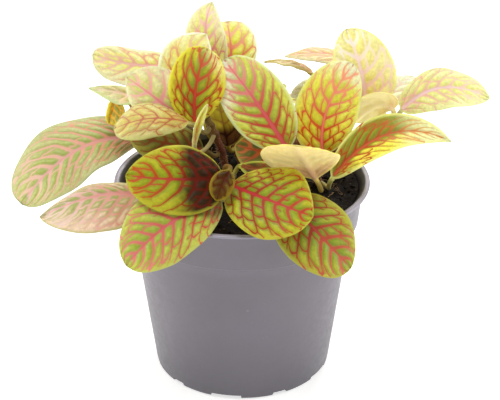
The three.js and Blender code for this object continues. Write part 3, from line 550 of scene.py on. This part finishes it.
leafMake = {
    "bladeRows": 76, "stalkRows": 16, "columns": 40,  # grid of a leaf longer than bigLength
    "bigLength": 34, "smallShare": 0.66,  # shorter leaves have this share of the grid
    "stalkHalf": 0.85, "stalkThick": 1.5, "midribThick": 0.95, "bladeThick": 0.36,
    "midribHalf": 0.9, "tipThin": 0.6,  # half width of the midrib's ridge, thinning to the tip
    "stalkFrom": 0.6, "stalkJoint": 1.95, "stalkBend": 0.4,  # from the stem's axis, and share of the way
    "veinStep": 4.9,  # distance between side veins along the midrib
    "veinShift": 0.175,  # how far the two sides' veins are out of step
    "sweep": 0.16,  # how far the side veins lean to the tip
    "puff": 0.36, "groove": 0.30, "grooveHalf": 1.1, "ripple": 0.28,
    "laneStep": 24, "seedStep": 7.3,  # so that no two leaves share a pattern or a ripple
}


def smooth(value, start, end):
    t = min(1, max(0, (value - start) / (end - start)))
    return t * t * (3 - 2 * t)


def widthAt(leaf, s, side):  # half width of the blade at s along it
    wide, ends = leaf["wide"], leaf["ends"]
    if s < wide:
        shape = (1 - ((wide - s) / wide) ** 2) ** ends[0]
    else:
        shape = max(0, 1 - ((s - wide) / (1 - wide)) ** 2) ** ends[1]
    return max(leaf["half"][side] * shape, leafMake["stalkHalf"] if s < 0.5 else 0.12)


def leafLine(leaf, stalkRows, bladeRows):  # sections along the stalk and the midrib
    base, mid, tip = Vector(leaf["base"]), Vector(leaf["mid"]), Vector(leaf["tip"])
    blade = [base, mid * 2 - base * 0.5 - tip * 0.5, tip]
    axis, run = bezier(stems[leaf["stem"]], leaf["at"])
    out = base - axis
    out = (out - run * out.dot(run)).normalized()
    joint = axis + out * leafMake["stalkJoint"]
    reach = (joint - base).length * leafMake["stalkBend"]
    stalk = [axis + out * leafMake["stalkFrom"], joint + out * reach, base - bezier(blade, 0)[1] * reach, base]
    face = Vector(leaf["face"])
    sections = []
    for i in range(stalkRows + bladeRows + 1):
        t = max(0, i - stalkRows) / bladeRows
        s = 0.45 * t + 0.55 * (0.5 - 0.5 * math.cos(math.pi * t))  # rows lie closer at both ends
        point, forward = bezier(stalk, i / stalkRows) if i < stalkRows else bezier(blade, s)
        up = (face - forward * face.dot(forward)).normalized()
        sections.append({"s": s, "point": point, "forward": forward, "up": up, "stalk": i / stalkRows})
    for i in range(stalkRows - 1, -1, -1):
        forward, later = sections[i]["forward"], sections[i + 1]["up"]
        sections[i]["up"] = (later - forward * later.dot(forward)).normalized()
    return sections


def bladeLift(leaf, seed, veinRows, s, v, half):  # place on the vein rows, and height above the flat blade
    make = leafMake
    side, edge, across = 0 if v < 0 else 1, abs(v), v * half
    # Rows of side veins, alternate on the two sides and swept towards the tip
    sweep = leaf.get("sweep", make["sweep"])
    row = (s - sweep * (edge + edge * edge)) * veinRows + (make["veinShift"] if v < 0 else 0)
    near = 0.5 - abs(row - math.floor(row) - 0.5)
    puff = math.sin(math.pi * near) ** 0.8 * smooth(edge, 0.03, 0.25) * smooth(edge, 1.0, 0.75)
    groove = math.exp(-(across / make["grooveHalf"]) ** 2) * smooth(s, 1.0, 0.7)
    ripple = noise.noise(Vector((s * 5, v * 1.2, 0)) + seed) * edge
    waveHeight, waves = leaf.get("wave", (0, 0))
    lift = edge * half * math.sin(math.radians(leaf["fold"])) + leaf["cup"] * (across / leaf["half"][side]) ** 2
    swing = math.sin(2 * math.pi * waves * s + (0 if v < 0 else 2)) * math.sin(math.pi * s)
    lift += waveHeight * v * v * swing
    lift += smooth(s, 0, 0.08) * (make["puff"] * puff - make["groove"] * groove
                                  + make["ripple"] * ripple * math.sin(math.pi * s) * 2)
    return row, lift


def thickAt(s, across):  # thick at the midrib, thin at the margin
    make = leafMake
    full = make["stalkThick"] + (make["midribThick"] - make["stalkThick"]) * min(1, s * 5)
    ridge = math.exp(-(across / make["midribHalf"]) ** 2)
    return (make["bladeThick"] + (full - make["bladeThick"]) * ridge) * (1 - make["tipThin"] * s ** 3)


def makeLeaf(name, leaf):
    make, number, mid = leafMake, int(name[-2:]), Vector(leaf["mid"])
    length = (Vector(leaf["base"]) - mid).length + (mid - Vector(leaf["tip"])).length
    share = 1 if length > make["bigLength"] else make["smallShare"]
    stalkRows, bladeRows = round(make["stalkRows"] * share), round(make["bladeRows"] * share)
    rows, columns = stalkRows + bladeRows, 2 * round(make["columns"] * share / 2)
    sections = leafLine(leaf, stalkRows, bladeRows)
    veinRows = max(4, round(length / make["veinStep"]))
    fold = math.radians(leaf["fold"])
    seed = Vector((make["seedStep"] * number, 1.7, 0.4))

    bm = bmesh.new()
    bmesh.ops.create_grid(bm, x_segments=columns, y_segments=rows, size=1)
    place = bm.verts.layers.float_vector.new("leafPlace")
    size = bm.verts.layers.float_vector.new("leafSize")
    weights = bm.verts.layers.deform.verify()
    for vert in bm.verts:
        v = vert.co.x
        section = sections[round((vert.co.y + 1) / 2 * rows)]
        s, up, forward = section["s"], section["up"], section["forward"]
        onBlade = section["stalk"] >= 1
        half = widthAt(leaf, s, 0 if v < 0 else 1) if onBlade else make["stalkHalf"]
        across = v * half
        row, lift = bladeLift(leaf, seed, veinRows, s, v, half)
        if onBlade:
            spread, along, margin = across * math.cos(fold), s, (1 - abs(v)) * half
            thick = thickAt(s, across)
        else:
            spread, along, margin, lift = across, section["stalk"] * 0.15 - 0.15, 0.9, 0
            thick = make["stalkThick"] * math.sqrt(max(0.02, 1 - v * v))
        vert.co = (section["point"] + up.cross(forward) * spread + up * lift) * mm
        vert[place] = Vector((row + make["laneStep"] * number, v, along))
        vert[size] = Vector((across, margin, length / veinRows))
        vert[weights][0] = thick / make["stalkThick"]
    bmesh.ops.recalc_face_normals(bm, faces=bm.faces)
    bm.normal_update()
    middle = min(bm.faces, key=lambda f: (f.calc_center_median() / mm - mid).length)
    nearest = min(sections, key=lambda section: (section["point"] - mid).length)
    if middle.normal.dot(nearest["up"]) < 0:
        bmesh.ops.reverse_faces(bm, faces=bm.faces)
    piece = addObject(name + "_blade", bm, bladeMaterials[leaf["look"]])
    piece.vertex_groups.new(name="thickness")
    solid = piece.modifiers.new("thickness", "SOLIDIFY")
    solid.thickness = make["stalkThick"] * mm
    solid.offset = -0.2
    solid.vertex_group = "thickness"
    solid.use_rim = True
    solid.material_offset = 1
    solid.material_offset_rim = 0
    dress(piece, name)


for name, leaf in leaves.items():
    makeLeaf(name, leaf)
print("leaves made:", len(leaves))


# Stems: red-brown, paler in places along their length and olive towards the tip
stemMake = {
    "skin": ("#7a4a26", "#6a2c1c"), "tip": "#8a8a3a", "joint": "#4c2418", "streak": "#a2764a",
    "hair": ("#e8dcc8", "#b89878"),
    "rows": 60, "columns": 18, "radius": 1.35, "taper": 0.12, "ridges": 0.05,
    "knot": 0.30, "knotHalf": 0.022, "roundFrom": 0.985,  # the last two are shares of the length
    "hairs": 260, "hairSpan": (0.25, 0.98), "hairLean": (-0.3, 0.6), "hairLength": (0.5, 1.0),
    "hairRadii": (0.05, 0.008),
}


def makeStemMaterial():
    make = stemMake
    material, tree, shader = newMaterial("stemSkin")
    reach, across, knot = partsOf(tree, "stemPlace")
    streak = noiseAt(joined(times(across, 22.0), times(reach, 3.0)), 1.0, 2.0)
    patch = noiseAt(objectPlace(tree), 70.0, 2.0)
    skin = mixColour(fade(patch, 0.35, 0.65), *make["skin"])
    skin = mixColour(fade(reach, 0.55, 1.0, 0.0, 0.6), skin, make["tip"])
    skin = mixColour(times(knot, 0.6), skin, make["joint"])
    skin = mixColour(fade(streak, 0.45, 0.75, 0.0, 0.35), skin, make["streak"])
    setInputs(shader, {"Base Color": skin, "Roughness": fade(streak, 0.3, 0.7, 0.5, 0.68),
                       "Normal": bumpFrom(streak, 0.5, 0.0003), "Sheen Weight": 0.06,
                       "Specular IOR Level": 0.22})
    return material


def makeHairMaterial():
    material, tree, shader = newMaterial("stemHair")
    tint = mixColour(noiseAt(objectPlace(tree), 400.0), *stemMake["hair"])
    setInputs(shader, {"Base Color": tint, "Roughness": 0.45})
    return material


stemSkin = makeStemMaterial()
stemHair = makeHairMaterial()


def aroundStem(points, t, turn):  # point on the axis, its direction, and the way out at this turn
    point, run = bezier(points, t)
    across = run.cross(Vector((1, 0, 0))).normalized()
    return point, run, across * math.cos(turn) + run.cross(across) * math.sin(turn)


def makeStem(name, points):
    make = stemMake
    joints = [leaf["at"] for leaf in leaves.values() if leaf["stem"] == name]
    bm = bmesh.new()
    bmesh.ops.create_grid(bm, x_segments=make["columns"], y_segments=make["rows"], size=1)
    place = bm.verts.layers.float_vector.new("stemPlace")
    for vert in bm.verts:
        turn, t = math.pi * vert.co.x, (vert.co.y + 1) / 2
        point, _, out = aroundStem(points, t, turn)
        knot = max(math.exp(-((t - joint) / make["knotHalf"]) ** 2) for joint in joints)
        radius = make["radius"] * (1 - make["taper"] * t + make["knot"] * knot)
        radius *= 1 + make["ridges"] * math.cos(4 * turn)
        if t > make["roundFrom"]:
            beyond = (t - make["roundFrom"]) / (1 - make["roundFrom"])
            radius *= min(1, math.sqrt(max(0.0, 1 - beyond ** 2)))
        vert.co = (point + out * max(radius, 0.05)) * mm
        vert[place] = Vector((t, vert.co.x, knot))
    bmesh.ops.remove_doubles(bm, verts=bm.verts, dist=0.02 * mm)
    bmesh.ops.holes_fill(bm, edges=bm.edges, sides=0)
    bmesh.ops.recalc_face_normals(bm, faces=bm.faces)
    # Fine hairs, each a slim cone
    for _ in range(make["hairs"]):
        t, turn = random.uniform(*make["hairSpan"]), random.uniform(0, 2 * math.pi)
        point, run, out = aroundStem(points, t, turn)
        out = (out + run * random.uniform(*make["hairLean"])).normalized()
        length = random.uniform(*make["hairLength"])
        middle = point + out * (make["radius"] * 0.9 + length / 2)
        turnTo = Matrix.Translation(middle * mm) @ out.to_track_quat("Z", "Y").to_matrix().to_4x4()
        root, end = make["hairRadii"]
        made = bmesh.ops.create_cone(bm, cap_ends=True, segments=3, radius1=root * mm, radius2=end * mm,
                                     depth=length * mm, matrix=turnTo)
        for face in {f for vert in made["verts"] for f in vert.link_faces}:
            face.material_index = 1
    dress(addObject(name + "_stem", bm, [stemSkin, stemHair]), name)


for name, points in stems.items():
    makeStem(name, points)
print("stems made:", len(stems))


# Soil: dark moist peat with crumbs and fibres
soilMake = {
    "peat": ("#090605", "#1f1610"), "fleck": "#5c4833", "fibre": ("#4a3524", "#a08258"),
    "top": 69.6, "radius": 41.0, "relief": 0.9, "rings": 44, "spokes": 120,
    "sides": [(39.4, 58.4), (37.3, 55), (30.6, 5), (29, 3.1), (15, 3.1), (0, 3.1)],  # from the edge down
    "crumbs": 420, "crumbSize": (0.35, 1.3), "crumbField": 40,
    "fibres": 130, "fibreLength": (2.5, 8), "fibreHalf": (0.08, 0.2), "fibreField": 37, "fibreLimit": 39.5,
    "fibreSteps": 6,
}


def makeSoilMaterial():
    material, tree, shader = newMaterial("peat")
    spot = objectPlace(tree)
    clump, fleck = noiseAt(spot, 260.0, 5.0, 0.65), noiseAt(spot, 900.0, 2.0)
    peat = mixColour(fade(clump, 0.35, 0.7), *soilMake["peat"])
    peat = mixColour(fade(fleck, 0.64, 0.74, 0.0, 0.8), peat, soilMake["fleck"])
    setInputs(shader, {"Base Color": peat, "Roughness": fade(clump, 0.3, 0.7, 0.62, 0.95),
                       "Normal": bumpFrom(clump, 0.9, 0.0012), "Specular IOR Level": 0.12})
    return material


def makeFibreMaterial():
    material, tree, shader = newMaterial("peatFibre")
    tint = mixColour(fade(noiseAt(objectPlace(tree), 120.0), 0.35, 0.65), *soilMake["fibre"])
    setInputs(shader, {"Base Color": tint, "Roughness": 0.8})
    return material


peat = makeSoilMaterial()
peatFibre = makeFibreMaterial()


def soilHeight(x, y):  # the same broad lumps as the packed soil, with finer ones on them
    away = math.hypot(x, y)
    lump = math.sin(x * 0.31 + 1.3) * math.cos(y * 0.27) + 0.6 * math.sin(x * 0.57 - y * 0.49)
    fine = noise.fractal(Vector((x, y, 3)) * 0.35, 1.0, 2.1, 4) * 0.9
    return soilMake["top"] + soilMake["relief"] * (lump * smooth(away, 42, 34) + fine * smooth(away, 42, 38))


def scattered(field):  # a random place on a round field
    away, turn = field * math.sqrt(random.random()), random.uniform(0, 2 * math.pi)
    return away * math.cos(turn), away * math.sin(turn)


def addCrumb(bm):  # sunk partly into the top
    make = soilMake
    x, y = scattered(make["crumbField"])
    size = random.uniform(*make["crumbSize"]) * random.uniform(0.6, 1)
    crumb = bmesh.ops.create_icosphere(bm, subdivisions=1, radius=size * mm)["verts"]
    stretch = Vector((random.uniform(0.7, 1.3), random.uniform(0.7, 1.3), random.uniform(0.5, 0.9)))
    shift = Vector((x, y, soilHeight(x, y) + size * 0.2))
    for vert in crumb:
        bumpy = 1 + 0.5 * noise.noise(vert.co / mm * 1.5 + shift)
        vert.co = (Vector(a * b for a, b in zip(vert.co / mm * bumpy, stretch)) + shift) * mm


def addFibre(bm):  # a thin bent rod lying on the top
    make, steps = soilMake, soilMake["fibreSteps"]
    (x, y), heading = scattered(make["fibreField"]), random.uniform(0, 2 * math.pi)
    length, thick = random.uniform(*make["fibreLength"]), random.uniform(*make["fibreHalf"])
    ring = bmesh.ops.create_circle(bm, segments=4, radius=thick * mm, cap_ends=True)["verts"]
    bmesh.ops.rotate(bm, verts=ring, cent=(0, 0, 0), matrix=Matrix.Rotation(math.pi / 2, 3, "Y"))
    bmesh.ops.rotate(bm, verts=ring, cent=(0, 0, 0), matrix=Matrix.Rotation(heading, 3, "Z"))
    bmesh.ops.translate(bm, verts=ring, vec=Vector((x, y, soilHeight(x, y) + 0.3)) * mm)
    end = ring[0].link_faces[0]
    for step in range(steps):
        grown = bmesh.ops.extrude_face_region(bm, geom=[end])["geom"]
        heading += random.uniform(-0.5, 0.5)
        x += math.cos(heading) * length / steps
        y += math.sin(heading) * length / steps
        far = min(1, make["fibreLimit"] / max(1, math.hypot(x, y)))
        x, y = x * far, y * far
        target = Vector((x, y, soilHeight(x, y) + 0.35 + 0.5 * math.sin(step + length))) * mm
        verts = [g for g in grown if isinstance(g, bmesh.types.BMVert)]
        centre = sum((g.co for g in verts), Vector()) / len(verts)
        bmesh.ops.translate(bm, verts=verts, vec=target - centre)
        end = next(g for g in grown if isinstance(g, bmesh.types.BMFace))
        for face in {f for vert in verts for f in vert.link_faces}:
            face.material_index = 1


def makeSoil():
    make = soilMake
    profile = [(make["radius"] * i / make["rings"], make["top"]) for i in range(make["rings"] + 1)]
    bm = spun(profile + make["sides"], make["spokes"], 0.01)
    for vert in bm.verts:
        if vert.co.z > (make["top"] - 0.1) * mm:
            vert.co.z = soilHeight(vert.co.x / mm, vert.co.y / mm) * mm
    bmesh.ops.recalc_face_normals(bm, faces=bm.faces)
    for _ in range(make["crumbs"]):
        addCrumb(bm)
    for _ in range(make["fibres"]):
        addFibre(bm)
    dress(addObject("soil_top", bm, [peat, peatFibre]), "soil")


makeSoil()
print("soil made")


# Pot: satin grey moulded plastic, darker on the inside wall above the soil, with painted shade towards the foot
# and a painted highlight on the top of the lip
potMake = {
    "plastic": ("#58525c", "#5f5864"), "dust": "#a39da6", "footPaintedShade": "#4a454e", "lipPaintedHighlight": "#a8a2b0",
    "innerWallDark": "#15100d", "gloss": 0.95,
    "footShadeFade": 0.036, "lipHighlightFade": (0.0706, 0.0718), "innerDarkFade": (0.0640, 0.0650),  # heights in metres
    "edge": (0.0696, 0.0418), "wallSlope": 0.103, "lipSlope": 0.6,  # the inside wall at the soil's edge
    "height": 72, "lipRadius": 45, "lip": 1, "collarTop": 42.5, "collarBottom": 41.3, "collarDrop": 14.5,
    "bodyTop": 39.1, "bodyBottom": 31.6, "wall": 1.2, "floor": 1.2, "foot": 1.6, "footWidth": 7.5,
    "pad": 12, "notches": 10, "turn": -10.6, "wide": 19.6, "narrow": 9.6, "slot": (8, 3.2), "steps": 144,
    "notchDraft": 2.6, "notchReach": 40, "smoothBelow": 38,  # degrees, mm, degrees
}


def makePotMaterial():
    make = potMake
    material, tree, shader = newMaterial("potPlastic")
    spot = objectPlace(tree)
    mixed = mixColour(fade(noiseAt(spot, 28.0, 3.0), 0.3, 0.7), *make["plastic"])
    dust = noiseAt(spot, 420.0, 4.0, 0.7)
    mixed = mixColour(fade(dust, 0.66, 0.8, 0.0, 0.35), mixed, make["dust"])
    x, y, z = fedNode("SeparateXYZ", {0: spot}).outputs
    # the inside wall is darker from about 65 mm high up to the lip
    rise = minus(z, make["edge"][0])
    flare = calc("MULTIPLY_ADD", calc("MAXIMUM", rise, 0.0), make["lipSlope"], times(rise, make["wallSlope"]))
    beyond = minus(calc("SQRT", plus(times(x, x), times(y, y))), plus(flare, make["edge"][1]))
    ragged = calc("MULTIPLY_ADD", noiseAt(spot, 260.0, 3.0), 0.0005, beyond)
    innerDarkened = times(fade(ragged, 0.0004, -0.0001), fade(z, *make["innerDarkFade"]))
    # painted shade: the pot is darker towards the bottom
    mixed = mixColour(fade(z, make["footShadeFade"], 0.0, 0.0, 0.75), mixed, make["footPaintedShade"])
    # painted highlight: the top of the lip is lighter
    mixed = mixColour(fade(z, *make["lipHighlightFade"], 0.0, 0.55), mixed, make["lipPaintedHighlight"])
    mixed = mixColour(times(innerDarkened, 0.95), mixed, make["innerWallDark"])
    setInputs(shader, {"Base Color": mixed, "Roughness": fade(dust, 0.3, 0.7, 0.36, 0.48),
                       "Normal": bumpFrom(noiseAt(spot, 1500.0, 2.0), 0.12, 0.0002),
                       "Specular IOR Level": make["gloss"]})
    return material


potPlastic = makePotMaterial()


def arc(centreR, centreZ, radius, start, end, steps):  # points of a round stretch of the profile
    angles = [math.radians(start + (end - start) * i / steps) for i in range(steps + 1)]
    return [(centreR + radius * math.cos(a), centreZ + radius * math.sin(a)) for a in angles]


def potProfile():  # from the middle of the underside out, up, over the lip and down to the floor inside
    p = potMake
    top, foot, pad, wall = p["height"], p["foot"], p["pad"], p["wall"]
    collarTop, collarBottom, lipR = p["collarTop"], p["collarBottom"], p["lipRadius"]
    bodyTop, bodyBottom = p["bodyTop"], p["bodyBottom"]
    collarZ = top - p["collarDrop"]
    bodyZ = collarZ - 0.5
    inside = foot + p["floor"]
    footR = bodyBottom - p["footWidth"]
    slope = (bodyTop - bodyBottom) / bodyZ
    return [
        (0, 0), (pad - 0.2, 0), (pad + 0.3, 0.3), (pad + 0.6, foot),
        (footR - 0.6, foot), (footR - 0.1, 0.2), (footR + 0.2, 0),
        *arc(bodyBottom - 1.25, 1.4, 1.4, -85, -5, 7),
        *[(bodyBottom + slope * z, z) for z in (3, 8, 16, 28, 42, 52)],
        (bodyTop - 0.05, bodyZ - 0.4), (bodyTop + 0.25, bodyZ - 0.05), (collarBottom - 0.7, collarZ - 0.3),
        *arc(collarBottom - 0.6, collarZ + 0.35, 0.6, -80, 0, 4),
        (collarTop - 0.3, top - 6), (collarTop, top - 2.4), (collarTop + 0.3, top - 1.5),
        (collarTop + 0.9, top - p["lip"]),
        *arc(lipR - 0.5, top - 0.5, 0.5, -80, 85, 7),
        (lipR - 1.6, top), (lipR - 2.2, top - 0.3),
        (collarTop - wall, top - 2.4), (collarBottom - wall, collarZ + 0.6),
        (bodyTop - wall, bodyZ - 0.9), (bodyBottom - wall + 0.3, inside + 1.2),
        (bodyBottom - wall - 0.7, inside), (0, inside)]


def potCuts():  # notches between the feet and drain slots, cut out together
    p = potMake
    footR = p["bodyBottom"] - p["footWidth"]
    start, (long, wide) = footR - 1, p["slot"]
    slotPlace = Matrix.Translation(((p["pad"] + footR) / 2, 0, p["foot"] + 1))
    cut = bmesh.new()
    for i in range(p["notches"]):
        turn = Matrix.Rotation(math.radians(p["turn"] + i * 360 / p["notches"] - 90), 4, "Z")
        notch = p["narrow"] if i % 2 else p["wide"]
        for vert in bmesh.ops.create_cube(cut, size=1)["verts"]:
            isTop = vert.co.z > 0
            r = start + (vert.co.x + 0.5) * (p["notchReach"] - start)
            a = vert.co.y * math.radians(notch + (0 if isTop else p["notchDraft"]))
            vert.co = turn @ Vector((r * math.cos(a), r * math.sin(a), p["foot"] if isTop else -1)) * mm
        slot = bmesh.ops.create_cube(cut, size=1)["verts"]
        place = Matrix.Scale(mm, 4) @ turn @ slotPlace @ Matrix.Diagonal((long, wide, 4, 1))
        bmesh.ops.transform(cut, matrix=place, verts=slot)
    return cut


def makePot():
    bm = spun(potProfile(), potMake["steps"], 0.005)
    bmesh.ops.recalc_face_normals(bm, faces=bm.faces)
    pot = addObject("pot_body", bm, [potPlastic])
    cutter = addObject("potCuts", potCuts(), [potPlastic])
    boolean = pot.modifiers.new("cuts", "BOOLEAN")
    boolean.object = cutter
    boolean.solver = "EXACT"
    bpy.context.view_layer.update()
    cutMesh = bpy.data.meshes.new_from_object(pot.evaluated_get(bpy.context.evaluated_depsgraph_get()))
    pot.modifiers.clear()
    pot.data = cutMesh
    bpy.data.objects.remove(cutter)
    bm = bmesh.new()
    bm.from_mesh(pot.data)
    for edge in bm.edges:
        edge.smooth = edge.calc_face_angle(0) < math.radians(potMake["smoothBelow"])
    for face in bm.faces:
        face.smooth = True
    bm.to_mesh(pot.data)
    bm.free()
    dress(pot, "pot")


makePot()
print("pot made")

# Floor, lights and camera
studio = {
    "floor": ("#d2d2d1", "#d8d8d7"), "floorGlow": 0.95, "world": 0.50,
    "lights": {  # place and target in metres, size, power
        "topLight": ((-0.3, -0.35, 2.4), (0, 0, 0.08), 1.3, 30),
        "leftLight": ((-2.0, 0.35, 0.7), (0, 0, 0.05), 0.9, 17),
        "rightLight": ((2.0, 0.35, 0.7), (0, 0, 0.05), 0.9, 18),
        "backLight": ((0.4, 1.9, 1.5), (0, 0, 0.1), 1.3, 26)},
    "camera": (0.0028, -0.475, 0.298), "tilt": 63.7, "lens": 107.5, "sensor": 36,
}


def makeStage():
    bm = bmesh.new()
    bmesh.ops.create_grid(bm, x_segments=1, y_segments=1, size=3)
    material, tree, shader = newMaterial("paleFloor")
    tint = mixColour(noiseAt(objectPlace(tree), 3.0), *studio["floor"])
    setInputs(shader, {"Base Color": tint, "Emission Color": tint, "Emission Strength": studio["floorGlow"],
                       "Roughness": 0.8})
    floor = addObject("floor", bm, [material])
    world = bpy.data.worlds.new("studioWorld")
    world.use_nodes = True
    setInputs(world.node_tree.nodes["Background"], {"Color": (1, 1, 1, 1), "Strength": studio["world"]})
    bpy.context.scene.world = world


def addLight(name, place, target, size, power):
    light = bpy.data.lights.new(name, "AREA")
    light.shape = "DISK"
    light.size = size
    light.energy = power
    lamp = linked(bpy.data.objects.new(name, light))
    lamp.location = place
    lamp.rotation_euler = (Vector(target) - Vector(place)).to_track_quat("-Z", "Y").to_euler()


def addCamera():
    camera = bpy.data.cameras.new("camera")
    camera.lens = studio["lens"]
    camera.sensor_width = studio["sensor"]
    cameraObject = linked(bpy.data.objects.new("camera", camera))
    cameraObject.location = studio["camera"]
    cameraObject.rotation_euler = (math.radians(studio["tilt"]), 0, 0)
    bpy.context.scene.camera = cameraObject


makeStage()
for name, settings in studio["lights"].items():
    addLight(name, *settings)
addCamera()
bpy.context.scene.view_settings.view_transform = "Standard"
print("stage ready")
